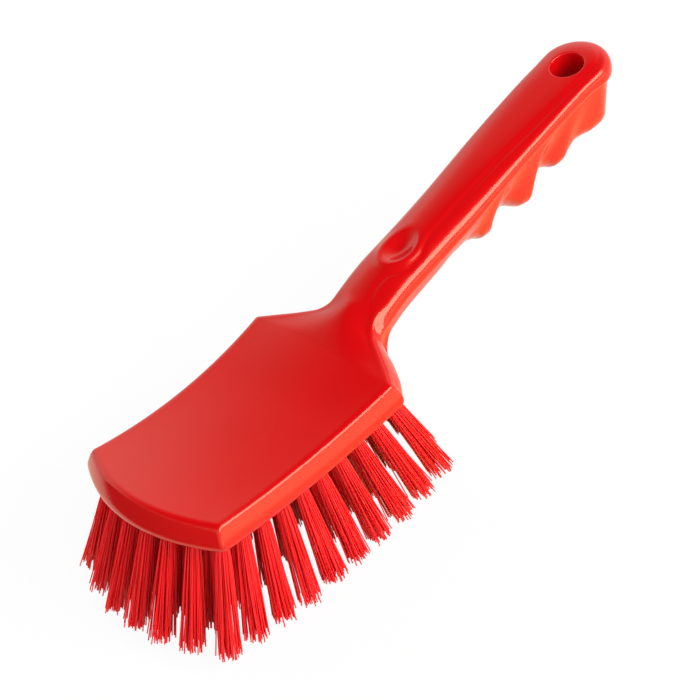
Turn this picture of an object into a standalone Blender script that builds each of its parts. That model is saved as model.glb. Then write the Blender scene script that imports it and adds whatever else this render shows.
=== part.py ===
"""Hand scrubbing brush with a short moulded handle.

One polypropylene moulding is both the head and the handle. Each tuft is a bundle of polyester
filaments, folded over a steel anchor and driven into its own blind hole in the head.

Units are metres. X runs from the front of the head to the end of the handle, Z is up, and the
brush stands on its bristle tips. Heights are first measured from the top corners of the head.
"""
import math

import bmesh
import bpy
from mathutils import Vector

# Plan of the moulding, along the upper edge line
LENGTH = 0.2762
HEAD_LENGTH = 0.0997
FRONT_WIDTH = 0.0718
REAR_WIDTH = 0.0748
FRONT_ARC_DEPTH = 0.0107
SIDE_HOLLOW = 0.0015
CORNER_ROUND = 0.0013
SHOULDER_REACH = 0.017
NECK_ROUND = 0.008
NECK_WIDTH = 0.0202

# Head: a curved plate with flared walls, mitred at its corners
HEAD_THICKNESS = 0.0112
HEAD_DIP = 0.004
FRONT_FLARE = 0.0052
HEAD_FLARE = 0.0038
SHOULDER_FLARE = 0.0058
TOP_EDGE_ROUND = 0.0011
LOWER_EDGE_ROUND = 0.0026
MITRE_REACH = 0.016

# Handle: a flattened barrel on top, and a narrower keel below it with finger hollows
HANDLE_RISE = 0.0414
NECK_CROWN = 0.0045
NECK_DEPTH = 0.0205
BARREL_WIDTH = 0.0304
BARREL_DROP = 0.0075
BARREL_UNDERSIDE = 0.0026
BARREL_TUCK = 0.002
KEEL_WIDTH = 0.0198
KEEL_ROUND = 0.0026
KEEL_EDGE_ROUND = 0.0045
SCOOP_LEAN = 0.012

# Hanging hole and thumb dish
HANG_HOLE_INSET = 0.0192
HANG_HOLE_RADIUS = 0.0072
HANG_HOLE_LIP = 0.0009
THUMB_DISTANCE = 0.0489
THUMB_LENGTH = 0.0175
THUMB_WIDTH = 0.0118
THUMB_DEPTH = 0.0024
THUMB_BALL_HEIGHT = 0.0072

# Tufts: rows across the head, each tuft in a blind hole
TUFTS_IN_ROWS = (7, 6, 5, 6, 5, 6, 5, 6, 5, 7)
ROOT_FRONT_MARGIN = 0.0047
ROOT_REAR_MARGIN = 0.0062
ROOT_FRONT_INSET = 0.0021
ROOT_REAR_OVERHANG = 0.0011
ROOT_FRONT_BULGE = 0.0082
ROOT_REAR_BULGE = 0.0075
TUFT_RADIUS = 0.00235
HOLE_CLEARANCE = 0.0003
HOLE_DEPTH = 0.0082
ROOT_PROUD = 0.0006
ANCHOR_THICKNESS = 0.0004
ANCHOR_HEIGHT = 0.0016
ANCHOR_BURIED = 0.0005
STRAND_RADIUS = 0.0006
STRAND_TIP_RADIUS = 0.0012
STRAND_SPACING = 0.0015
TIP_SPACING = 0.0029

# Where the tips end: the tufts splay outwards and are trimmed along an arc
SIDE_SPLAY = 0.009
FRONT_SPLAY = 0.0173
REAR_SPLAY = 0.0122
TIP_FRONT_BULGE = 0.0118
TIP_REAR_BULGE = 0.0105
TIP_SIDE_BULGE = 0.0031
BRISTLE_REACH = 0.0573
TRIM_RADIUS = 0.5
STANDING_CUT = 0.0005

# One overrun serves every cut
OVERRUN = 0.004

# Shares of the way from the rear corners to the handle's end, with shares of the size they follow
EDGE_RISE_SHARES = ((0, 0), (0.044, 0.041), (0.073, 0.077), (0.103, 0.135), (0.144, 0.24), (0.22, 0.37),
                    (0.285, 0.425), (0.5, 0.605), (0.924, 0.943), (1, 0.985))
DEPTH_SHARES = ((0, 0), (0.073, 0.35), (0.108, 0.65), (0.144, 0.88), (0.18, 1), (1, 1))
KEEL_LINE_SHARES = ((0.1, -0.28), (0.144, -0.2), (0.18, -0.15), (0.22, -0.1), (0.285, -0.03),
                    (0.337, 0.02), (0.388, 0.068), (0.435, 0.07), (0.474, 0.02), (0.499, -0.038),
                    (0.514, -0.042), (0.534, 0.025), (0.552, 0.084), (0.574, 0.103), (0.597, 0.07),
                    (0.616, 0.017), (0.635, -0.032), (0.656, -0.047), (0.67, -0.008), (0.683, 0.067),
                    (0.7025, 0.161), (0.7213, 0.181), (0.738, 0.161), (0.765, 0.107), (0.78, 0.108),
                    (0.805, 0.164), (0.84, 0.217), (0.866, 0.21), (0.895, 0.19), (0.933, 0.19), (1, 0.2))
CROWN_SHARES = ((0, 0.5), (0.044, 0.85), (0.073, 1), (0.103, 0.85), (0.144, 0.2), (0.22, 0.06), (0.4, 0.06),
                (0.6, 0.15), (1, 0.15))
HEAD_CROWN_SHARES = ((0, 0.24), (0.7, 0.2), (1, 0.5))
BARREL_FORM_SHARES = ((0, 0), (0.05, 0), (0.08, 0.25), (0.105, 0.8), (0.125, 0.97), (0.15, 1), (1, 1))
GRIP_FORM_SHARES = ((0, 0), (0.105, 0.1), (0.16, 0.8), (0.24, 1), (1, 1))
FLARE_SHARES = ((0, 0.2), (0.032, 1), (0.073, 1), (0.114, 0.5), (1, 0.5))
BELL_SHARES = ((0, 0.4), (0.032, 1), (0.103, 1), (0.155, 0), (1, 0))
BARREL_WIDTH_SHARES = ((0, 1.5), (0.06, 1.3), (0.09, 1.11), (0.115, 1), (0.14, 0.955), (0.18, 0.935),
                       (0.23, 0.929), (0.335, 0.924), (0.44, 0.945), (0.54, 0.958), (0.65, 0.974),
                       (0.75, 0.987), (0.86, 0.99), (0.93, 1.03), (1, 1.03))
FLAT_TOP_SHARES = ((0, 1), (0.4, 0.97), (0.53, 0.9), (0.63, 0.8), (0.73, 0.7), (0.83, 0.63), (1, 0.63))
BARREL_DROP_SHARES = ((0, 1), (0.44, 1), (0.54, 0.88), (0.65, 0.77), (0.8, 0.74), (0.88, 0.8),
                      (0.95, 1.05), (1, 1.25))
TUCK_SHARES = ((0, 0.3), (0.335, 0.35), (0.44, 0.6), (0.54, 1), (1, 1))
KEEL_WIDTH_SHARES = ((0, 0.96), (0.3, 0.96), (0.44, 0.87), (0.54, 0.87), (0.7, 0.91), (0.85, 0.97), (1, 1))
TOP_SHARE = 0.72
WALL_SWELL_SHARES = (0.6, 0.95)
WALL_DROP_SHARES = (0.4, 0.75)
RIDGE_LINE_SHARES = ((0.285, -0.03), (0.388, 0.06), (0.507, -0.033), (0.65, -0.047), (0.77, 0.107),
                     (0.9, 0.19), (1, 0.19))
SCOOP_SHARE = 0.35
MIDDLE_SHARE = 0.5
BEND_LIMIT_SHARE = 0.45
TRIM_CENTRE_SHARE = 0.598
CORNER_LIMIT_SHARE = 1.001

# How finely the solids are cut into facets
FRONT_STEPS = 7
SIDE_STEPS = 8
SHOULDER_STEPS = 3
BEND_STEPS = 3
FLANK_STEPS = 3
GRIP_STEPS = 42
END_STEPS = 8
ACROSS_STEPS = 4
HOLE_SIDES = 20
LIP_STEPS = 2
FACE_TRIES = 4
DISH_SIDES = 18
DISH_RINGS = 12
TUFT_SIDES = 8
STRANDS_ROUND_THE_MIDDLE = 7
STRAND_SIDES = 3
TRIM_TRIES = 8
MERGE_DISTANCE = 0.000001


def mix(first, second, share):
    return first + (second - first) * share


def secant(table, i):
    (a, low), (b, high) = table[i], table[i + 1]
    return (high - low) / (b - a)


def knot_slope(table, i):
    """Slope of the smooth curve at one row, zero where the rows turn back."""
    if i == 0:
        return secant(table, 0)
    if i == len(table) - 1:
        return secant(table, i - 1)
    before, after = secant(table, i - 1), secant(table, i)
    if before * after <= 0:
        return 0
    return 2 * before * after / (before + after)


def follow(table, place):
    """Value at a place along a table of (place, value) rows, on a curve that never overshoots."""
    place = min(max(place, table[0][0]), table[-1][0])
    i = max(k for k in range(len(table) - 1) if table[k][0] <= place)
    (a, low), (b, high) = table[i], table[i + 1]
    span = b - a
    t = (place - a) / span
    low_part = low * (1 + 2 * t) * (1 - t) ** 2 + high * t * t * (3 - 2 * t)
    turn = knot_slope(table, i) * t * (1 - t) ** 2 - knot_slope(table, i + 1) * t * t * (1 - t)
    return low_part + span * turn


def bend(start, corner, end, steps):
    """Points on the curve that rounds off a corner."""
    shares = [k / steps for k in range(steps + 1)]
    return [start * (1 - t) ** 2 + corner * (2 * t * (1 - t)) + end * t * t for t in shares]


def handle_share(x):
    """How far x lies along the way from the rear corners to the handle's end."""
    return (x - HEAD_LENGTH) / (LENGTH - HEAD_LENGTH)


def side_point(share):
    """A point on the long side of the head, which is slightly hollow."""
    x = mix(FRONT_ARC_DEPTH, HEAD_LENGTH, share)
    y = mix(FRONT_WIDTH, REAR_WIDTH, share) / 2 - 4 * SIDE_HOLLOW * share * (1 - share)
    return Vector((x, y))


def end_centre():
    """Middle of the handle's round end."""
    return LENGTH - BARREL_WIDTH / 2


def side_line():
    """Half of the plan's edge line, from the front corner to the start of the round end."""
    head_side = HEAD_LENGTH - FRONT_ARC_DEPTH
    first, last = CORNER_ROUND / head_side, 1 - CORNER_ROUND / head_side
    side = [side_point(mix(first, last, k / SIDE_STEPS)) for k in range(SIDE_STEPS + 1)]
    rear_corner = side_point(1)
    neck = Vector((HEAD_LENGTH + SHOULDER_REACH, NECK_WIDTH / 2))
    shoulder = (neck - rear_corner).normalized()
    shoulder_start = rear_corner + shoulder * CORNER_ROUND
    shoulder_end = neck - shoulder * NECK_ROUND
    line = [shoulder_start.lerp(shoulder_end, k / SHOULDER_STEPS) for k in range(SHOULDER_STEPS + 1)]
    grip_start = neck + Vector((NECK_ROUND, 0))
    grip = [Vector((mix(grip_start.x, end_centre(), k / GRIP_STEPS), NECK_WIDTH / 2))
            for k in range(GRIP_STEPS + 1)]
    rear_bend = bend(side[-1], rear_corner, shoulder_start, BEND_STEPS)
    neck_bend = bend(shoulder_end, neck, grip_start, 3 * BEND_STEPS)
    return side + rear_bend[1:-1] + line + neck_bend[1:-1] + grip


def plan_outline():
    """Half of the plan's edge line, from the middle of the front to the tip of the handle."""
    front_half = FRONT_WIDTH / 2
    last = 1 - CORNER_ROUND / front_half
    shares = [last * k / FRONT_STEPS for k in range(FRONT_STEPS + 1)]
    front = [Vector((FRONT_ARC_DEPTH * t * t, front_half * t)) for t in shares]
    side = side_line()
    corner = bend(front[-1], side_point(0), side[0], BEND_STEPS)
    return front + corner[1:-1] + side


def outward_steps(points, distances):
    """Plan steps out of the outline by the given distances, mitred round the head's corners."""
    squares = [Vector((-1, 0))]
    for before, after in zip(points, points[2:]):
        run = (after - before).normalized()
        squares.append(Vector((-run.y, run.x)))
    squares.append(Vector((0, 1)))
    steps = [square * distance for square, distance in zip(squares, distances)]
    for corner in (side_point(0), side_point(1)):
        gaps = [(p - corner).length for p in points]
        on_corner = [i for i, gap in enumerate(gaps) if gap <= CORNER_ROUND * CORNER_LIMIT_SHARE]
        i, j = on_corner[0] - 1, on_corner[-1] + 1
        a, b, turn = squares[i], squares[j], squares[i].dot(squares[j])
        reach_a, reach_b = distances[i] - turn * distances[j], distances[j] - turn * distances[i]
        mitre = (a * reach_a + b * reach_b) / (1 - turn * turn)
        slides = (mitre - a * distances[i], mitre - b * distances[j])
        for k, gap in enumerate(gaps):
            near = max(1 - (gap - CORNER_ROUND) / MITRE_REACH, 0) ** 2
            if i < k < j:
                steps[k] = mitre
            else:
                steps[k] = steps[k] + slides[k >= j] * near
    return steps


SIDE_LINE = side_line()


def half_width(x):
    """Half width of the edge line at x, carried on past its two ends."""
    if x <= SIDE_LINE[0].x:
        return SIDE_LINE[0].y
    for a, b in zip(SIDE_LINE, SIDE_LINE[1:]):
        if x <= b.x:
            return mix(a.y, b.y, (x - a.x) / (b.x - a.x))
    return SIDE_LINE[-1].y


def edge_height(x):
    """Height of the upper edge: the head dips between its corners, and the handle climbs."""
    if x < HEAD_LENGTH:
        share = (x - FRONT_ARC_DEPTH) / (HEAD_LENGTH - FRONT_ARC_DEPTH)
        return -4 * HEAD_DIP * share * (1 - share)
    return HANDLE_RISE * follow(EDGE_RISE_SHARES, handle_share(x))


def top_height(x, y):
    """Height of the upper face, which is crowned and swells into the neck."""
    if x < HEAD_LENGTH:
        crown = follow(HEAD_CROWN_SHARES, x / HEAD_LENGTH)
    else:
        crown = follow(CROWN_SHARES, handle_share(x))
    hollow = follow(BELL_SHARES, handle_share(x))
    inner = max(1 - (y / half_width(x)) ** 2, 0)
    return edge_height(x) + NECK_CROWN * crown * inner ** (1 + hollow)


def section_forms(x):
    """How far the section is the handle's, not the plate's: each point of its wall, from the top down."""
    # The barrel's side stands out before the crisp upper edge has faded and before the keel has formed
    side = follow(BARREL_FORM_SHARES, handle_share(x))
    rest = follow(GRIP_FORM_SHARES, handle_share(x))
    edge = [mix(rest, side, k / BEND_STEPS) for k in range(BEND_STEPS + 1)]
    flank = [mix(side, rest, k / FLANK_STEPS) for k in range(1, FLANK_STEPS)]
    whole = ACROSS_STEPS + BEND_STEPS + 1
    return [rest] * whole + edge + [side] * (BEND_STEPS + 1) + flank + [rest] * whole


def plate_flare(x):
    """How far the lower edge of the head and shoulders stands out from the upper edge."""
    if x < HEAD_LENGTH:
        return HEAD_FLARE
    return mix(HEAD_FLARE, SHOULDER_FLARE, follow(FLARE_SHARES, handle_share(x)))


def keel_line(x):
    """Height of the keel's lower corners, down over the finger ridges and up into the hollows."""
    return HANDLE_RISE * follow(KEEL_LINE_SHARES, handle_share(x))


def scoop(x):
    """How far the keel's side is scooped in, beside each finger hollow."""
    share = handle_share(x)
    hollow = follow(KEEL_LINE_SHARES, share) - follow(RIDGE_LINE_SHARES, share)
    return SCOOP_SHARE * HANDLE_RISE * max(hollow, 0)


def keel_half(x):
    """Half width of the keel at its lower corners."""
    return KEEL_WIDTH / 2 * follow(KEEL_WIDTH_SHARES, handle_share(x)) - scoop(x)


def bottom_height(x, y):
    """Height of the underside: the bristle face of the head, then the handle's keel."""
    if x < HEAD_LENGTH:
        return edge_height(x) - HEAD_THICKNESS
    form = follow(GRIP_FORM_SHARES, handle_share(x))
    depth = mix(HEAD_THICKNESS, NECK_DEPTH, follow(DEPTH_SHARES, handle_share(x)))
    keel = keel_line(x) - KEEL_ROUND * (1 - (y / keel_half(x)) ** 2)
    return mix(edge_height(x) - depth, keel, form)


def underside(foot):
    """The section's points from the foot of its wall to the middle of the underside."""
    shares = [1 - k / ACROSS_STEPS for k in range(1, ACROSS_STEPS + 1)]
    return [Vector((foot.x, foot.y * t, bottom_height(foot.x, foot.y * t))) for t in shares]


def plate_section(point, step, flare):
    """Half a section of the head's plate: its upper face, a crisp edge and a wall that flares."""
    def out(share, height=None):
        place = point + (flare * share if share > 0 else step * share)
        return Vector((place.x, place.y, top_height(place.x, place.y) if height is None else height))

    edge = out(0)
    top = out(-TOP_EDGE_ROUND)
    low_place = point + flare
    low = out(1, bottom_height(low_place.x, low_place.y))
    fall = edge.z - low.z
    upper, lower = [out(swell, edge.z - fall * drop)
                    for swell, drop in zip(WALL_SWELL_SHARES, WALL_DROP_SHARES)]
    down, on, under = upper - edge, lower - upper, low - lower
    low_cut = min(LOWER_EDGE_ROUND, under.length * BEND_LIMIT_SHARE)
    foot_place = low_place - step * LOWER_EDGE_ROUND
    foot = Vector((foot_place.x, foot_place.y, bottom_height(foot_place.x, foot_place.y)))
    points = [Vector((top.x, top.y * k / ACROSS_STEPS, top_height(top.x, top.y * k / ACROSS_STEPS)))
              for k in range(ACROSS_STEPS)]
    points += bend(top, edge, edge + down.normalized() * TOP_EDGE_ROUND, BEND_STEPS)
    points += bend(upper - down * BEND_LIMIT_SHARE, upper, upper + on * BEND_LIMIT_SHARE, BEND_STEPS)
    points += bend(lower - on * BEND_LIMIT_SHARE, lower, lower + under * BEND_LIMIT_SHARE, BEND_STEPS)
    last = low - under.normalized() * low_cut
    points += [points[-1].lerp(last, k / FLANK_STEPS) for k in range(1, FLANK_STEPS)]
    points += bend(last, low, foot, BEND_STEPS)
    return points + underside(foot)


def crown_height(x):
    return edge_height(x) + NECK_CROWN * follow(CROWN_SHARES, handle_share(x))


def grip_top(x, y):
    """Height of the barrel's upper face, near the middle of the handle."""
    half = BARREL_WIDTH / 2 * follow(BARREL_WIDTH_SHARES, handle_share(x))
    drop = BARREL_DROP * follow(BARREL_DROP_SHARES, handle_share(x))
    power = follow(FLAT_TOP_SHARES, handle_share(x))
    return crown_height(x) - drop * (1 - max(1 - abs(y / half) ** (2 / power), 0) ** (power / 2))


def barrel_section(spine, way):
    """Half a section of the grip: a flattened barrel on top, and a narrower keel that the fingers hold."""
    share = handle_share(spine.x)
    half = BARREL_WIDTH / 2 * follow(BARREL_WIDTH_SHARES, share)
    drop = BARREL_DROP * follow(BARREL_DROP_SHARES, handle_share(spine.x + way.x * half))
    tuck = BARREL_TUCK * follow(TUCK_SHARES, share)
    power = follow(FLAT_TOP_SHARES, share)

    def at(reach, fall):
        place = spine + way * reach
        return Vector((place.x, place.y, crown_height(place.x) - fall))

    points = []
    last_top = math.asin(TOP_SHARE ** (1 / power))
    steps = 2 * BEND_STEPS + 1
    leans = [math.asin((TOP_SHARE * k / ACROSS_STEPS) ** (1 / power)) for k in range(ACROSS_STEPS)]
    leans += [mix(last_top, math.pi / 2, k / steps) for k in range(steps + 1)]
    for lean in leans:
        points.append(at(half * math.sin(lean) ** power, drop * (1 - max(math.cos(lean), 0) ** power)))
    for k in range(1, BEND_STEPS + 2):
        lean = math.pi / 2 * k / (BEND_STEPS + 1)
        points.append(at(half - tuck * (1 - math.cos(lean)), drop + BARREL_UNDERSIDE * math.sin(lean)))
    keel = keel_half(spine.x)
    low_place = spine + way * keel
    low = Vector((low_place.x, low_place.y, bottom_height(low_place.x, low_place.y)))
    foot_place = spine + way * (keel - KEEL_EDGE_ROUND)
    foot = Vector((foot_place.x, foot_place.y, bottom_height(foot_place.x, foot_place.y)))
    flank = points[-1] - low
    # The scoops lean towards the handle's end as they run up the flank, and fade out below the barrel
    last = low + flank.normalized() * KEEL_EDGE_ROUND
    crease = points[-1]
    for k in range(1, FLANK_STEPS):
        rise = 1 - k / FLANK_STEPS
        depth = (scoop(spine.x - SCOOP_LEAN * rise) - scoop(spine.x)) * (1 - rise) * way.y ** 2
        points.append(last.lerp(crease, rise) - (way * depth).to_3d())
    points += bend(last, low, foot, BEND_STEPS)
    return points + underside(foot)


def sections():
    """All the half sections, from the middle of the front to the tip of the handle."""
    rings = []
    outline = plan_outline()
    flares = [FRONT_FLARE if k <= FRONT_STEPS else plate_flare(p.x) for k, p in enumerate(outline)]
    for point, step, flare in zip(outline, outward_steps(outline, [1] * len(outline)),
                                  outward_steps(outline, flares)):
        ring = plate_section(point, step, flare)
        if point.x > HEAD_LENGTH:
            barrel = barrel_section(Vector((point.x, 0)), Vector((0, 1)))
            ring = [a.lerp(b, form) for a, b, form in zip(ring, barrel, section_forms(point.x))]
        rings.append(ring)
    for k in range(1, END_STEPS + 1):
        turn = math.pi / 2 * k / END_STEPS
        ring = barrel_section(Vector((end_centre(), 0)), Vector((math.sin(turn), math.cos(turn))))
        if k == END_STEPS:
            ring = [Vector((p.x, 0, p.z)) for p in ring]
        rings.append(ring)
    return rings


def new_object(name, mesh, collection):
    made = bpy.data.objects.new(name, mesh)
    collection.objects.link(made)
    return made


def mesh_from(bm, name):
    mesh = bpy.data.meshes.new(name)
    bm.to_mesh(mesh)
    bm.free()
    return mesh


def loft_half(rings, name):
    """A skin over a row of sections, open along the middle plane."""
    bm = bmesh.new()
    grid = [[bm.verts.new(p) for p in ring] for ring in rings]
    for low, high in zip(grid, grid[1:]):
        for j in range(len(low) - 1):
            bm.faces.new((low[j], low[j + 1], high[j + 1], high[j]))
    bmesh.ops.remove_doubles(bm, verts=bm.verts, dist=MERGE_DISTANCE)
    bmesh.ops.dissolve_degenerate(bm, edges=bm.edges, dist=MERGE_DISTANCE)
    bmesh.ops.recalc_face_normals(bm, faces=bm.faces)
    return mesh_from(bm, name)


def as_cutter(cutter):
    cutter.hide_render = True
    cutter.display_type = "WIRE"
    return cutter


def cut(body, cutter, name):
    modifier = body.modifiers.new(name, "BOOLEAN")
    modifier.operation = "DIFFERENCE"
    modifier.solver = "EXACT"
    modifier.object = cutter


def handle_pitch():
    """Slope of the handle's top at the hanging hole, as an angle."""
    x = LENGTH - HANG_HOLE_INSET
    run = HANG_HOLE_RADIUS
    return math.atan2(crown_height(x + run) - crown_height(x - run), 2 * run)


def hang_hole_ring(radius, drop, on_face):
    """One ring of the bore, level with the hole's middle or laid on the barrel's crowned face."""
    x = LENGTH - HANG_HOLE_INSET
    pitch = handle_pitch()
    axis = Vector((-math.sin(pitch), 0, math.cos(pitch)))
    along = Vector((math.cos(pitch), 0, math.sin(pitch)))
    ring = []
    for k in range(HOLE_SIDES):
        turn = 2 * math.pi * k / HOLE_SIDES
        place = Vector((x, 0, crown_height(x))) + along * (radius * math.cos(turn))
        place.y = radius * math.sin(turn)
        for _ in range(FACE_TRIES if on_face else 0):
            place += axis * ((grip_top(place.x, place.y) - place.z) / axis.z)
        ring.append(place - axis * drop)
    return ring


def hang_hole_cutter(collection):
    """A bore with a rounded lip at each face, square to the handle's top."""
    x = LENGTH - HANG_HOLE_INSET
    depth = crown_height(x) - bottom_height(x, 0)
    wide = HANG_HOLE_RADIUS + HANG_HOLE_LIP + OVERRUN
    turns = [math.pi / 2 * k / LIP_STEPS for k in range(LIP_STEPS + 1)]
    lips = [(HANG_HOLE_RADIUS + HANG_HOLE_LIP * (1 - math.sin(t)), HANG_HOLE_LIP * (1 - math.cos(t)))
            for t in turns]
    rings = [hang_hole_ring(wide, -OVERRUN, True)]
    rings += [hang_hole_ring(radius, drop, True) for radius, drop in lips]
    rings += [hang_hole_ring(radius, depth - drop, False) for radius, drop in reversed(lips)]
    rings.append(hang_hole_ring(wide, depth + OVERRUN, False))
    bm = bmesh.new()
    prism(bm, rings)
    bmesh.ops.recalc_face_normals(bm, faces=bm.faces)
    return as_cutter(new_object("hang_hole_cutter", mesh_from(bm, "hang_hole_cutter"), collection))


def thumb_dish_cutter(collection):
    """A flat ellipsoid that sinks the thumb dish into the handle's top."""
    bm = bmesh.new()
    bmesh.ops.create_uvsphere(bm, u_segments=DISH_SIDES, v_segments=DISH_RINGS, radius=1)
    # The dish is a cap of the ball, so the ball is wider and longer than the dish by the cap's share
    cap_share = math.sqrt(1 - (1 - THUMB_DEPTH / THUMB_BALL_HEIGHT) ** 2)
    size = Vector((THUMB_LENGTH / 2 / cap_share, THUMB_WIDTH / 2 / cap_share, THUMB_BALL_HEIGHT))
    bmesh.ops.scale(bm, vec=size, verts=bm.verts)
    cutter = as_cutter(new_object("thumb_dish_cutter", mesh_from(bm, "thumb_dish_cutter"), collection))
    x = HEAD_LENGTH + THUMB_DISTANCE
    cutter.location = (x, 0, crown_height(x) + THUMB_BALL_HEIGHT - THUMB_DEPTH)
    cutter.rotation_euler = (0, -handle_pitch(), 0)
    return cutter


def in_field(along, across, width, front, rear, bulges):
    """A place in a field of tufts, given as shares along the head and across it."""
    front_bulge, rear_bulge, side_bulge = bulges
    bulge = mix(-front_bulge, rear_bulge, along) * (1 - across ** 2)
    half = width / 2 + side_bulge * 4 * along * (1 - along)
    return Vector((mix(front, rear, along) + bulge, half * across))


def tuft_places():
    """Where each tuft leaves the bristle face, and the way it points."""
    places = []
    last_row = len(TUFTS_IN_ROWS) - 1
    front_width = FRONT_WIDTH - 2 * ROOT_FRONT_MARGIN
    rear_width = REAR_WIDTH - 2 * ROOT_REAR_MARGIN
    front, rear = FRONT_ARC_DEPTH + ROOT_FRONT_INSET, HEAD_LENGTH + ROOT_REAR_OVERHANG
    root_bulges = (ROOT_FRONT_BULGE, ROOT_REAR_BULGE, 0)
    tip_bulges = (TIP_FRONT_BULGE, TIP_REAR_BULGE, TIP_SIDE_BULGE)
    for row, count in enumerate(TUFTS_IN_ROWS):
        along = row / last_row
        root_width = mix(front_width, rear_width, along)
        tip_width = root_width + 2 * SIDE_SPLAY
        for k in range(count):
            across = 2 * k / (count - 1) - 1
            root = in_field(along, across, root_width, front, rear, root_bulges)
            tip = in_field(along, across, tip_width, front - FRONT_SPLAY, rear + REAR_SPLAY, tip_bulges)
            face = Vector((root.x, root.y, bottom_height(root.x, root.y)))
            way = Vector((tip.x, tip.y, trim_height(tip.x))) - face
            places.append((f"tuft_row_{row + 1}_{k + 1}", face, way.normalized()))
    return places


def tuft_frame(way):
    """Directions across the brush and along it, both square to the tuft."""
    across = Vector((0, 1, 0)) - way * way.y
    across.normalize()
    return across, across.cross(way)


def prism(bm, rings):
    """A closed prism over rings of corners, ends included."""
    loops = [[bm.verts.new(p) for p in ring] for ring in rings]
    for low, high in zip(loops, loops[1:]):
        for k in range(len(low)):
            nxt = (k + 1) % len(low)
            bm.faces.new((low[k], low[nxt], high[nxt], high[k]))
    bm.faces.new(loops[0])
    bm.faces.new(loops[-1])


def round_ring(centre, way, radius, sides):
    across, along = tuft_frame(way)
    turns = [2 * math.pi * (k + MIDDLE_SHARE) / sides for k in range(sides)]
    return [centre + (across * math.cos(t) + along * math.sin(t)) * radius for t in turns]


def trim_height(x):
    """Height of the trimmed bristle tips, which lie on a long arc with a flat cut to stand on."""
    arc = (x - HEAD_LENGTH * TRIM_CENTRE_SHARE) ** 2 / (2 * TRIM_RADIUS)
    return max(arc, STANDING_CUT) - BRISTLE_REACH


def tip_corner(root, tip):
    """Where the line from a root corner through a tip corner meets the trimmed surface."""
    run = tip - root
    share = 1
    for _ in range(TRIM_TRIES):
        x = root.x + run.x * share
        share = (trim_height(x) - root.z) / run.z
    return root + run * share


def tuft_meshes(face, way, name):
    """One tuft: folded root, splayed strands and the anchor across its fold."""
    across, along = tuft_frame(way)
    root_top = face - way * (HOLE_DEPTH - HOLE_CLEARANCE - ANCHOR_HEIGHT + ANCHOR_BURIED)
    root_end = face + way * ROOT_PROUD
    root = bmesh.new()
    prism(root, [round_ring(root_top, way, TUFT_RADIUS, TUFT_SIDES),
                 round_ring(root_end, way, TUFT_RADIUS, TUFT_SIDES)])
    bmesh.ops.recalc_face_normals(root, faces=root.faces)

    strands = bmesh.new()
    reach = BRISTLE_REACH + face.z
    spots = [(0, 0)]
    for k in range(STRANDS_ROUND_THE_MIDDLE):
        turn = 2 * math.pi * k / STRANDS_ROUND_THE_MIDDLE
        spots.append((math.cos(turn), math.sin(turn)))
    start = root_end - way * ROOT_PROUD
    for u, v in spots:
        ray = across * u + along * v
        low = start + ray * STRAND_SPACING
        high = start + way * reach + ray * TIP_SPACING
        heading = (high - low).normalized()
        base = round_ring(low, heading, STRAND_RADIUS, STRAND_SIDES)
        end = round_ring(high, heading, STRAND_TIP_RADIUS, STRAND_SIDES)
        prism(strands, [base, [tip_corner(a, b) for a, b in zip(base, end)]])
    bmesh.ops.recalc_face_normals(strands, faces=strands.faces)

    anchor = bmesh.new()
    anchor_end = root_top + way * ANCHOR_BURIED
    half_long, half_thick = TUFT_RADIUS - ANCHOR_THICKNESS, ANCHOR_THICKNESS / 2
    corners = ((1, 1), (-1, 1), (-1, -1), (1, -1))
    foot = [anchor_end + across * half_long * u + along * half_thick * v for u, v in corners]
    prism(anchor, [[p - way * ANCHOR_HEIGHT for p in foot], foot])
    bmesh.ops.recalc_face_normals(anchor, faces=anchor.faces)
    return [mesh_from(bm, f"{name}_{kind}") for bm, kind in
            ((root, "root"), (strands, "strands"), (anchor, "anchor"))]


def fuse(body, other, name):
    modifier = body.modifiers.new(name, "BOOLEAN")
    modifier.operation = "UNION"
    modifier.solver = "EXACT"
    modifier.object = other


def plastic(name, colour, roughness):
    material = bpy.data.materials.new(name)
    material.use_nodes = True
    shader = material.node_tree.nodes["Principled BSDF"]
    shader.inputs["Base Color"].default_value = (*colour, 1)
    shader.inputs["Roughness"].default_value = roughness
    shader.inputs["Metallic"].default_value = 0
    return material


def build_body(parts, cutters, holes):
    body = new_object("head_and_handle", loft_half(sections(), "head_and_handle"), parts)
    mirror = body.modifiers.new("other_half", "MIRROR")
    mirror.use_axis = (False, True, False)
    mirror.merge_threshold = MERGE_DISTANCE
    cut(body, holes, "tuft_holes")
    cut(body, hang_hole_cutter(cutters), "hang_hole")
    cut(body, thumb_dish_cutter(cutters), "thumb_dish")
    body.data.materials.append(plastic("moulded_polypropylene_red", (0.62, 0.006, 0.008), 0.25))
    body.data.shade_smooth()
    body.data.set_sharp_from_angle(angle=math.radians(30))
    return body


def hole_cutter(cutters, places):
    """All the blind holes in one cutter, each in line with its tuft."""
    bm = bmesh.new()
    for _, face, way in places:
        radius = TUFT_RADIUS + HOLE_CLEARANCE
        prism(bm, [round_ring(face - way * HOLE_DEPTH, way, radius, TUFT_SIDES),
                   round_ring(face + way * OVERRUN, way, radius, TUFT_SIDES)])
    bmesh.ops.recalc_face_normals(bm, faces=bm.faces)
    return as_cutter(new_object("tuft_holes", mesh_from(bm, "tuft_holes"), cutters))


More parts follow.
